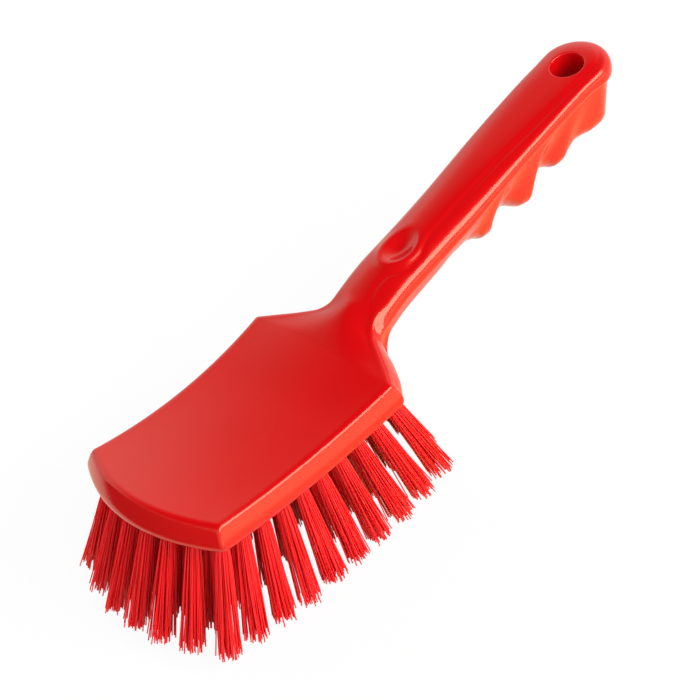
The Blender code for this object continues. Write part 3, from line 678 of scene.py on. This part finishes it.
def add_node(tree, kind, settings=None, **links):
    """A shader node with its settings, and its inputs linked or set: by name, or as _0, _1 by number."""
    node = tree.nodes.new(kind)
    for key, value in (settings or {}).items():
        setattr(node, key, value)
    for key, value in links.items():
        socket = node.inputs[int(key[1:])] if key[1:].isdigit() else node.inputs[key.replace("_", " ")]
        if isinstance(value, bpy.types.NodeSocket):
            tree.links.new(value, socket)
        else:
            socket.default_value = value
    return node


def new_material(name):
    """A material, its node tree and its Principled shader."""
    material = bpy.data.materials.new(name)
    material.use_nodes = True
    return material, material.node_tree, material.node_tree.nodes["Principled BSDF"]


def per_metre(millimetres):
    """A pattern's scale, in whole cells per metre, from the width of one of its cells."""
    return round(1000 / millimetres)


# Polypropylene, moulded against polished steel: a deep glossy red, barely cloudy, with the faintest orange
# peel, a slow sink where the thick head shrank as it cooled, and a gloss that handling has dulled a little
# in places. What it mirrors is tinted a little warm, as in the photograph
DEEP_RED = "#BF050B"
CLOUD_RED = "#CA080D"
CLOUD_WIDTH_MM = 35.7
PEEL_WIDTH_MM = 2.38
SINK_WIDTH_MM = 22.2
RUB_WIDTH_MM = 6.25
SINK_TO_PEEL = 6.0
polypropylene, tree, skin = new_material("polypropylene_polished_moulding")
place = add_node(tree, "ShaderNodeTexCoord").outputs["Object"]
clouds = add_node(tree, "ShaderNodeTexNoise", Vector=place, Scale=per_metre(CLOUD_WIDTH_MM), Detail=2.0)
tint = add_node(tree, "ShaderNodeMix", {"data_type": "RGBA"}, _0=clouds.outputs["Fac"],
                _6=linear(DEEP_RED), _7=linear(CLOUD_RED))
tree.links.new(tint.outputs[2], skin.inputs["Base Color"])
peel = add_node(tree, "ShaderNodeTexNoise", Vector=place, Scale=per_metre(PEEL_WIDTH_MM), Detail=0.0)
sink = add_node(tree, "ShaderNodeTexNoise", Vector=place, Scale=per_metre(SINK_WIDTH_MM), Detail=1.0)
height = add_node(tree, "ShaderNodeMath", {"operation": "MULTIPLY_ADD"}, _0=sink.outputs["Fac"],
                  _1=SINK_TO_PEEL, _2=peel.outputs["Fac"])
skin_bump = add_node(tree, "ShaderNodeBump", Strength=0.04, Distance=0.0002, Height=height.outputs[0])
tree.links.new(skin_bump.outputs["Normal"], skin.inputs["Normal"])
rubs = add_node(tree, "ShaderNodeTexNoise", Vector=place, Scale=per_metre(RUB_WIDTH_MM), Detail=2.0)
gloss = add_node(tree, "ShaderNodeMapRange", Value=rubs.outputs["Fac"], From_Min=0.3, From_Max=0.75,
                 To_Min=0.165, To_Max=0.195)
tree.links.new(gloss.outputs["Result"], skin.inputs["Roughness"])
skin.inputs["IOR"].default_value = 1.5
skin.inputs["Specular Tint"].default_value = linear("#FFF3CB")

moulding.data.materials.clear()
moulding.data.materials.append(polypropylene)
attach(moulding, "root")
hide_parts("head_and_handle")

# The tufts.
# Each is a bundle of stiff polyester filaments, folded in two over a steel anchor punched into its hole.
# They fan out a little from the hole and are trimmed after filling, so their ends are level but not even.
FILAMENTS = 92
FILAMENT_RADIUS = 0.00026
FILAMENT_SIDES = 5
FILAMENT_SHARP_ANGLE = math.radians(75)
ROOT_SPREAD = 0.0021
FOLD_SHARE = 0.8
TIP_SPREAD = 0.0048
FAN_REACH = 0.045
FAN_POWER = 0.58
RING_SHARES = (0, 0.16, 0.36, 0.58, 0.8, 1)
TRIM_STEPS = 6
TRIM_UNEVEN = 0.0011
TURN_JITTER = 0.2
DRIFT = 0.0007
STRAY_DRIFT = 0.0012
STRAY_SHARE = 0.05
DRIFT_LIMIT = 2
TONE_MIDDLE = 0.5
TONE_SPREAD = 0.25
ANCHOR_SIZE = (0.0038, 0.0004, 0.0016)
GOLDEN_TURN = math.pi * (3 - math.sqrt(5))
TUFT_SEED = 27

# Polyester, extruded and drawn: a brighter red than the moulding, each strand a shade of its own, satin, and
# clear enough for light to pass from strand to strand. The drawing left streaks too fine to show in the
# render, so the satin varies over a width that does show
STRAND_RED = "#E80C12"
BRIGHT_STRAND_RED = "#FF191F"
DRAW_WIDTH_MM = 1.111
polyester, tree, fibre = new_material("polyester_extruded_filament")
strand = add_node(tree, "ShaderNodeAttribute", {"attribute_name": "strand_shade"}).outputs["Fac"]
shade = add_node(tree, "ShaderNodeMix", {"data_type": "RGBA"}, _0=strand, _6=linear(STRAND_RED),
                 _7=linear(BRIGHT_STRAND_RED))
tree.links.new(shade.outputs[2], fibre.inputs["Base Color"])
place = add_node(tree, "ShaderNodeTexCoord").outputs["Object"]
draw = add_node(tree, "ShaderNodeTexNoise", Vector=place, Scale=per_metre(DRAW_WIDTH_MM), Detail=1.0)
satin = add_node(tree, "ShaderNodeMapRange", Value=draw.outputs["Fac"], To_Min=0.3, To_Max=0.42)
tree.links.new(satin.outputs["Result"], fibre.inputs["Roughness"])
fibre.inputs["IOR"].default_value = 1.57
fibre.inputs["Specular IOR Level"].default_value = 0.3
fibre.inputs["Subsurface Weight"].default_value = 0.4
fibre.inputs["Subsurface Radius"].default_value = (1.0, 0.3, 0.3)
fibre.inputs["Subsurface Scale"].default_value = 0.0006

# Steel, rolled to strip and cut: a plain grey sheen, deep in the holes
anchor_steel, _, strip = new_material("steel_rolled_strip")
strip.inputs["Base Color"].default_value = linear("#B9B6AE")
strip.inputs["Metallic"].default_value = 1.0
strip.inputs["Roughness"].default_value = 0.35


def filament_rings(face, way, spot, drift, uneven):
    """Ring centres of one filament, from its fold in the hole to its cut end."""
    across, along = tuft_frame(way)
    ray = across * spot[0] + along * spot[1]
    fold_depth = HOLE_DEPTH - HOLE_CLEARANCE - ANCHOR_SIZE[2]
    fold = face - way * fold_depth + ray * ROOT_SPREAD * FOLD_SHARE

    def at(length):
        share = length / FAN_REACH
        fan = mix(ROOT_SPREAD, TIP_SPREAD, max(share, 0) ** FAN_POWER)
        return face + way * length + ray * fan + drift * share * share

    # Each step brings the cut end closer to the trimmed surface
    length = FAN_REACH
    for _ in range(TRIM_STEPS):
        end = at(length)
        length += (end.z - trim_height(end.x)) / -way.z
    length -= uneven
    return [fold] + [at(length * share) for share in RING_SHARES]


def add_filament(points, faces, centres, ring_offsets):
    """One filament, a closed tube through its ring centres."""
    first = len(points)
    for i, centre in enumerate(centres):
        points += [centre + offset for offset in ring_offsets]
        if i:
            low = first + (i - 1) * FILAMENT_SIDES
            for j in range(FILAMENT_SIDES):
                nxt = (j + 1) % FILAMENT_SIDES
                faces.append((low + j, low + nxt, low + nxt + FILAMENT_SIDES, low + j + FILAMENT_SIDES))
    faces.append(tuple(first + j for j in reversed(range(FILAMENT_SIDES))))
    last = len(points) - FILAMENT_SIDES
    faces.append(tuple(last + j for j in range(FILAMENT_SIDES)))


def add_anchor(points, faces, face, way):
    """The steel anchor, a small flat bar across the bottom of the hole."""
    across, along = tuft_frame(way)
    long, thick, tall = ANCHOR_SIZE
    foot = face - way * (HOLE_DEPTH - HOLE_CLEARANCE)
    first = len(points)
    for lift in (0, tall):
        for u, v in ((1, 1), (-1, 1), (-1, -1), (1, -1)):
            points.append(foot + across * (long / 2 * u) + along * (thick / 2 * v) + way * lift)
    for corners in ((3, 2, 1, 0), (4, 5, 6, 7), (0, 1, 5, 4), (1, 2, 6, 5), (2, 3, 7, 6), (3, 0, 4, 7)):
        faces.append(tuple(first + c for c in corners))


def tuft_mesh(name, face, tip, rng):
    """One tuft's filaments as one mesh, with a shade for each, and the anchor in its fold."""
    way = (tip - face).normalized()
    across, along = tuft_frame(way)
    turns = [2 * math.pi * k / FILAMENT_SIDES for k in range(FILAMENT_SIDES)]
    ring_offsets = [(across * math.cos(t) + along * math.sin(t)) * FILAMENT_RADIUS for t in turns]
    points, faces, shades = [], [], []
    for k in range(FILAMENTS):
        radius = math.sqrt((k + MIDDLE_SHARE) / FILAMENTS)
        turn = k * GOLDEN_TURN + rng.uniform(-TURN_JITTER, TURN_JITTER)
        amount = STRAY_DRIFT if rng.random() < STRAY_SHARE else DRIFT
        pull = [clamp(rng.gauss(0, 1), -DRIFT_LIMIT, DRIFT_LIMIT) * amount for _ in range(2)]
        drift = across * pull[0] + along * pull[1]
        spot = (radius * math.cos(turn), radius * math.sin(turn))
        centres = filament_rings(face, way, spot, drift, rng.random() ** 2 * TRIM_UNEVEN)
        tone = clamp(rng.gauss(TONE_MIDDLE, TONE_SPREAD), 0, 1)
        add_filament(points, faces, centres, ring_offsets)
        shades += [tone] * (len(points) - len(shades))
    steel_from = len(faces)
    add_anchor(points, faces, face, way)
    shades += [0] * (len(points) - len(shades))
    mesh = bpy.data.meshes.new(name)
    mesh.from_pydata([p + shift for p in points], [], faces)
    attribute = mesh.attributes.new("strand_shade", "FLOAT", "POINT")
    attribute.data.foreach_set("value", shades)
    mesh.materials.append(polyester)
    mesh.materials.append(anchor_steel)
    index = [0] * steel_from + [1] * (len(faces) - steel_from)
    mesh.polygons.foreach_set("material_index", index)
    mesh.validate()
    mesh.shade_smooth()
    mesh.set_sharp_from_angle(angle=FILAMENT_SHARP_ANGLE)
    return mesh


rng = random.Random(TUFT_SEED)
for tuft_name, face, tip in tuft_places():
    tuft = new_object(f"{tuft_name}_filaments", tuft_mesh(tuft_name, face, tip, rng))
    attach(tuft, "root")
    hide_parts(tuft_name)

# The stage.
# A white table in a studio that is white near the table and dark overhead, with one large soft lamp at the
# right of the brush and a dim one at the left, and cards that the glossy walls of the head mirror. The cards
# show only in gloss: they paint dark, warm and orange reflections.
FLOOR_RADIUS = 0.62
FLOOR_SIDES = 96
FLOOR_GLOW_SHARE = 0.94
floor_mesh = bmesh.new()
bmesh.ops.create_circle(floor_mesh, cap_ends=True, segments=FLOOR_SIDES, radius=FLOOR_RADIUS)
floor = new_object("floor", mesh_from(floor_mesh, "floor"))
# White paper, uncoated: even and without gloss, with only a faint shadow below the brush
paper, tree, matte = new_material("white_paper_floor")
matte.inputs["Base Color"].default_value = linear("#F4F4F4")
matte.inputs["Roughness"].default_value = 0.9
matte.inputs["Specular IOR Level"].default_value = 0.0
rays = add_node(tree, "ShaderNodeLightPath")
seen = add_node(tree, "ShaderNodeMath", {"operation": "MAXIMUM"}, _0=rays.outputs["Is Camera Ray"],
                _1=rays.outputs["Is Glossy Ray"])
seen = add_node(tree, "ShaderNodeMath", {"operation": "MAXIMUM"}, _0=seen.outputs[0],
                _1=rays.outputs["Is Transmission Ray"])
share = add_node(tree, "ShaderNodeMath", {"operation": "MULTIPLY"}, _0=seen.outputs[0],
                 _1=FLOOR_GLOW_SHARE)
# The plastic mirrors the table a little warm, because the undersides are orange in the photograph
# Only glossy rays see this warmth: a painted warm reflection on the plastic
warmth = add_node(tree, "ShaderNodeMix", {"data_type": "RGBA"}, _0=rays.outputs["Is Glossy Ray"],
                  _6=linear("#FFFFFF"), _7=linear("#FFF9E4"))
glow = add_node(tree, "ShaderNodeEmission", Color=warmth.outputs[2], Strength=1.0)
blend = add_node(tree, "ShaderNodeMixShader", _0=share.outputs[0], _1=matte.outputs[0], _2=glow.outputs[0])
tree.links.new(blend.outputs[0], tree.nodes["Material Output"].inputs["Surface"])
floor.data.materials.append(paper)

world = bpy.data.worlds.new("studio_room")
bpy.context.scene.world = world
world.use_nodes = True
tree = world.node_tree
background = tree.nodes["Background"]
way = add_node(tree, "ShaderNodeTexCoord").outputs["Generated"]
upward = add_node(tree, "ShaderNodeSeparateXYZ", Vector=way).outputs["Z"]
# The room's brightness over the sine of the height above the horizon; the camera itself sees it white
ROOM_BRIGHTNESS = ((0.0, 0.85), (0.45, 1.1), (0.55, 0.85), (0.64, 0.5), (0.755, 0.28), (0.83, 0.12),
                   (0.89, 0.03), (1.0, 0.03))
room = add_node(tree, "ShaderNodeValToRGB", Fac=upward)
ramp = room.color_ramp
while len(ramp.elements) < len(ROOM_BRIGHTNESS):
    ramp.elements.new(MIDDLE_SHARE)
for stop, (height_share, bright) in zip(ramp.elements, ROOM_BRIGHTNESS):
    stop.position = height_share
    stop.color = (bright, bright, bright, 1)
rays = add_node(tree, "ShaderNodeLightPath")
room_or_white = add_node(tree, "ShaderNodeMix", {"data_type": "RGBA"}, _0=rays.outputs["Is Camera Ray"],
                         _6=room.outputs["Color"], _7=linear("#FFFFFF"))
tree.links.new(room_or_white.outputs[2], background.inputs["Color"])
background.inputs["Strength"].default_value = 1.0

# Both lamps are aimed at a point in the middle of the brush
LIT_POINT = (0, 0, 0.05)


def turned_to(point, place, front):
    """The rotation that turns an object's front axis from its place to a point."""
    return (Vector(point) - Vector(place)).to_track_quat(front, "Y").to_euler()


def soft_lamp(name, place, size, power):
    """A rectangular lamp that shines on the brush."""
    light = bpy.data.lights.new(name, "AREA")
    light.shape = "RECTANGLE"
    light.size, light.size_y = size
    light.energy = power
    lamp = new_object(name, light)
    lamp.location = place
    lamp.rotation_euler = turned_to(LIT_POINT, place, "-Z")
    return lamp


soft_lamp("large_lamp_right", place=(0.38, -1.19, 0.86), size=(1.5, 0.72), power=28.5)
fill = soft_lamp("fill_lamp_left", place=(-0.1, 1.2, 0.7), size=(1.0, 0.6), power=9)
fill.visible_glossy = False

# Only gloss mirrors the cards, so each paints a reflection: black cards at the front left, upright and flat
# on the table, paint a dark reflection that keeps the front wall deep red; a warm glowing card low at the
# right paints a warm reflection on the head's right wall; and an amber glowing mat beside the grip paints an
# orange bounce on the grip's underside
CARD_HALF = 0.5


def studio_card(name, material, place, facing, size):
    """A card one metre square, scaled to its size and turned to a point."""
    card_mesh = bmesh.new()
    bmesh.ops.create_grid(card_mesh, x_segments=1, y_segments=1, size=CARD_HALF)
    card = new_object(name, mesh_from(card_mesh, name))
    card.scale = (*size, 1)
    card.location = place
    card.rotation_euler = turned_to(facing, place, "Z")
    card.data.materials.append(material)
    # Seen only in gloss, the card paints a reflection and casts no light or shadow
    card.visible_camera = False
    card.visible_shadow = False
    card.visible_diffuse = False


def glowing_material(name, colour, strength):
    """An even glow over a black base colour, from no lamp: on a card seen only in gloss, it paints a
    reflection.
    """
    material, _, glow_surface = new_material(name)
    glow_surface.inputs["Base Color"].default_value = linear("#000000")
    glow_surface.inputs["Emission Color"].default_value = linear(colour)
    glow_surface.inputs["Emission Strength"].default_value = strength
    return material


# A near-black matte surface that gives back almost no light; on the black cards it paints a dark reflection
black, _, dark_reflection_surface = new_material("painted_dark_reflection_material")
dark_reflection_surface.inputs["Base Color"].default_value = linear("#0C0C0C")
dark_reflection_surface.inputs["Roughness"].default_value = 1.0
dark_reflection_surface.inputs["Specular IOR Level"].default_value = 0.0
# A glowing card that no lamp lights: a painted warm reflection on the head's right wall
warm = glowing_material("painted_warm_reflection_glow", "#FFF6CE", 2.7)
# A glowing mat that no lamp lights: a painted orange bounce on the grip's underside
amber = glowing_material("painted_orange_bounce_glow", "#FFDD95", 1.25)
# Black cards seen only in gloss: a painted dark reflection that keeps the front wall deep red
studio_card("reflection_black_card", black, place=(-0.42, 0.04, 0.11), facing=(-0.1, -0.13, 0.11), size=(0.7, 0.34))
studio_card("reflection_black_mat", black, place=(-0.34, 0.02, 0.003), facing=(-0.34, 0.02, 0.1), size=(0.26, 0.5))
studio_card("painted_warm_reflection_card", warm, place=(0.11, -0.24, 0.048), facing=(0.11, -0.04, 0.048), size=(0.62, 0.1))
studio_card("painted_orange_bounce_mat", amber, place=(0.1, -0.11, 0.002), facing=(0.1, -0.11, 0.1), size=(0.3, 0.2))

# The camera stands in front of the brush on its right, looking down, and is rolled a little. Its angles are
# in radians, and its target is measured from the middle of the head's front, level with its upper corners
CAMERA_TURN = 0.942
CAMERA_DOWN = 0.699
CAMERA_ROLL = -0.252
CAMERA_DISTANCE = 0.835486
CAMERA_TARGET = (0.113374, 0, -0.010519)
FOCAL_PIXELS = 2100.594
PICTURE_PIXELS = 700
SENSOR_WIDTH_MM = 36
target = Vector(CAMERA_TARGET) + shift
back = Vector((-math.cos(CAMERA_TURN) * math.cos(CAMERA_DOWN),
               -math.sin(CAMERA_TURN) * math.cos(CAMERA_DOWN),
               math.sin(CAMERA_DOWN)))
level = (-back).cross(Vector((0, 0, 1))).normalized()
upright = level.cross(-back)
right = level * math.cos(CAMERA_ROLL) + upright * math.sin(CAMERA_ROLL)
up = upright * math.cos(CAMERA_ROLL) - level * math.sin(CAMERA_ROLL)
camera_data = bpy.data.cameras.new("camera")
camera_data.sensor_width = SENSOR_WIDTH_MM
camera_data.lens = FOCAL_PIXELS / PICTURE_PIXELS * camera_data.sensor_width
camera = new_object("camera", camera_data)
turned = Matrix((right, up, back)).transposed().to_4x4()
camera.matrix_world = Matrix.Translation(target + back * CAMERA_DISTANCE) @ turned
bpy.context.scene.camera = camera
bpy.context.scene.view_settings.view_transform = "Standard"
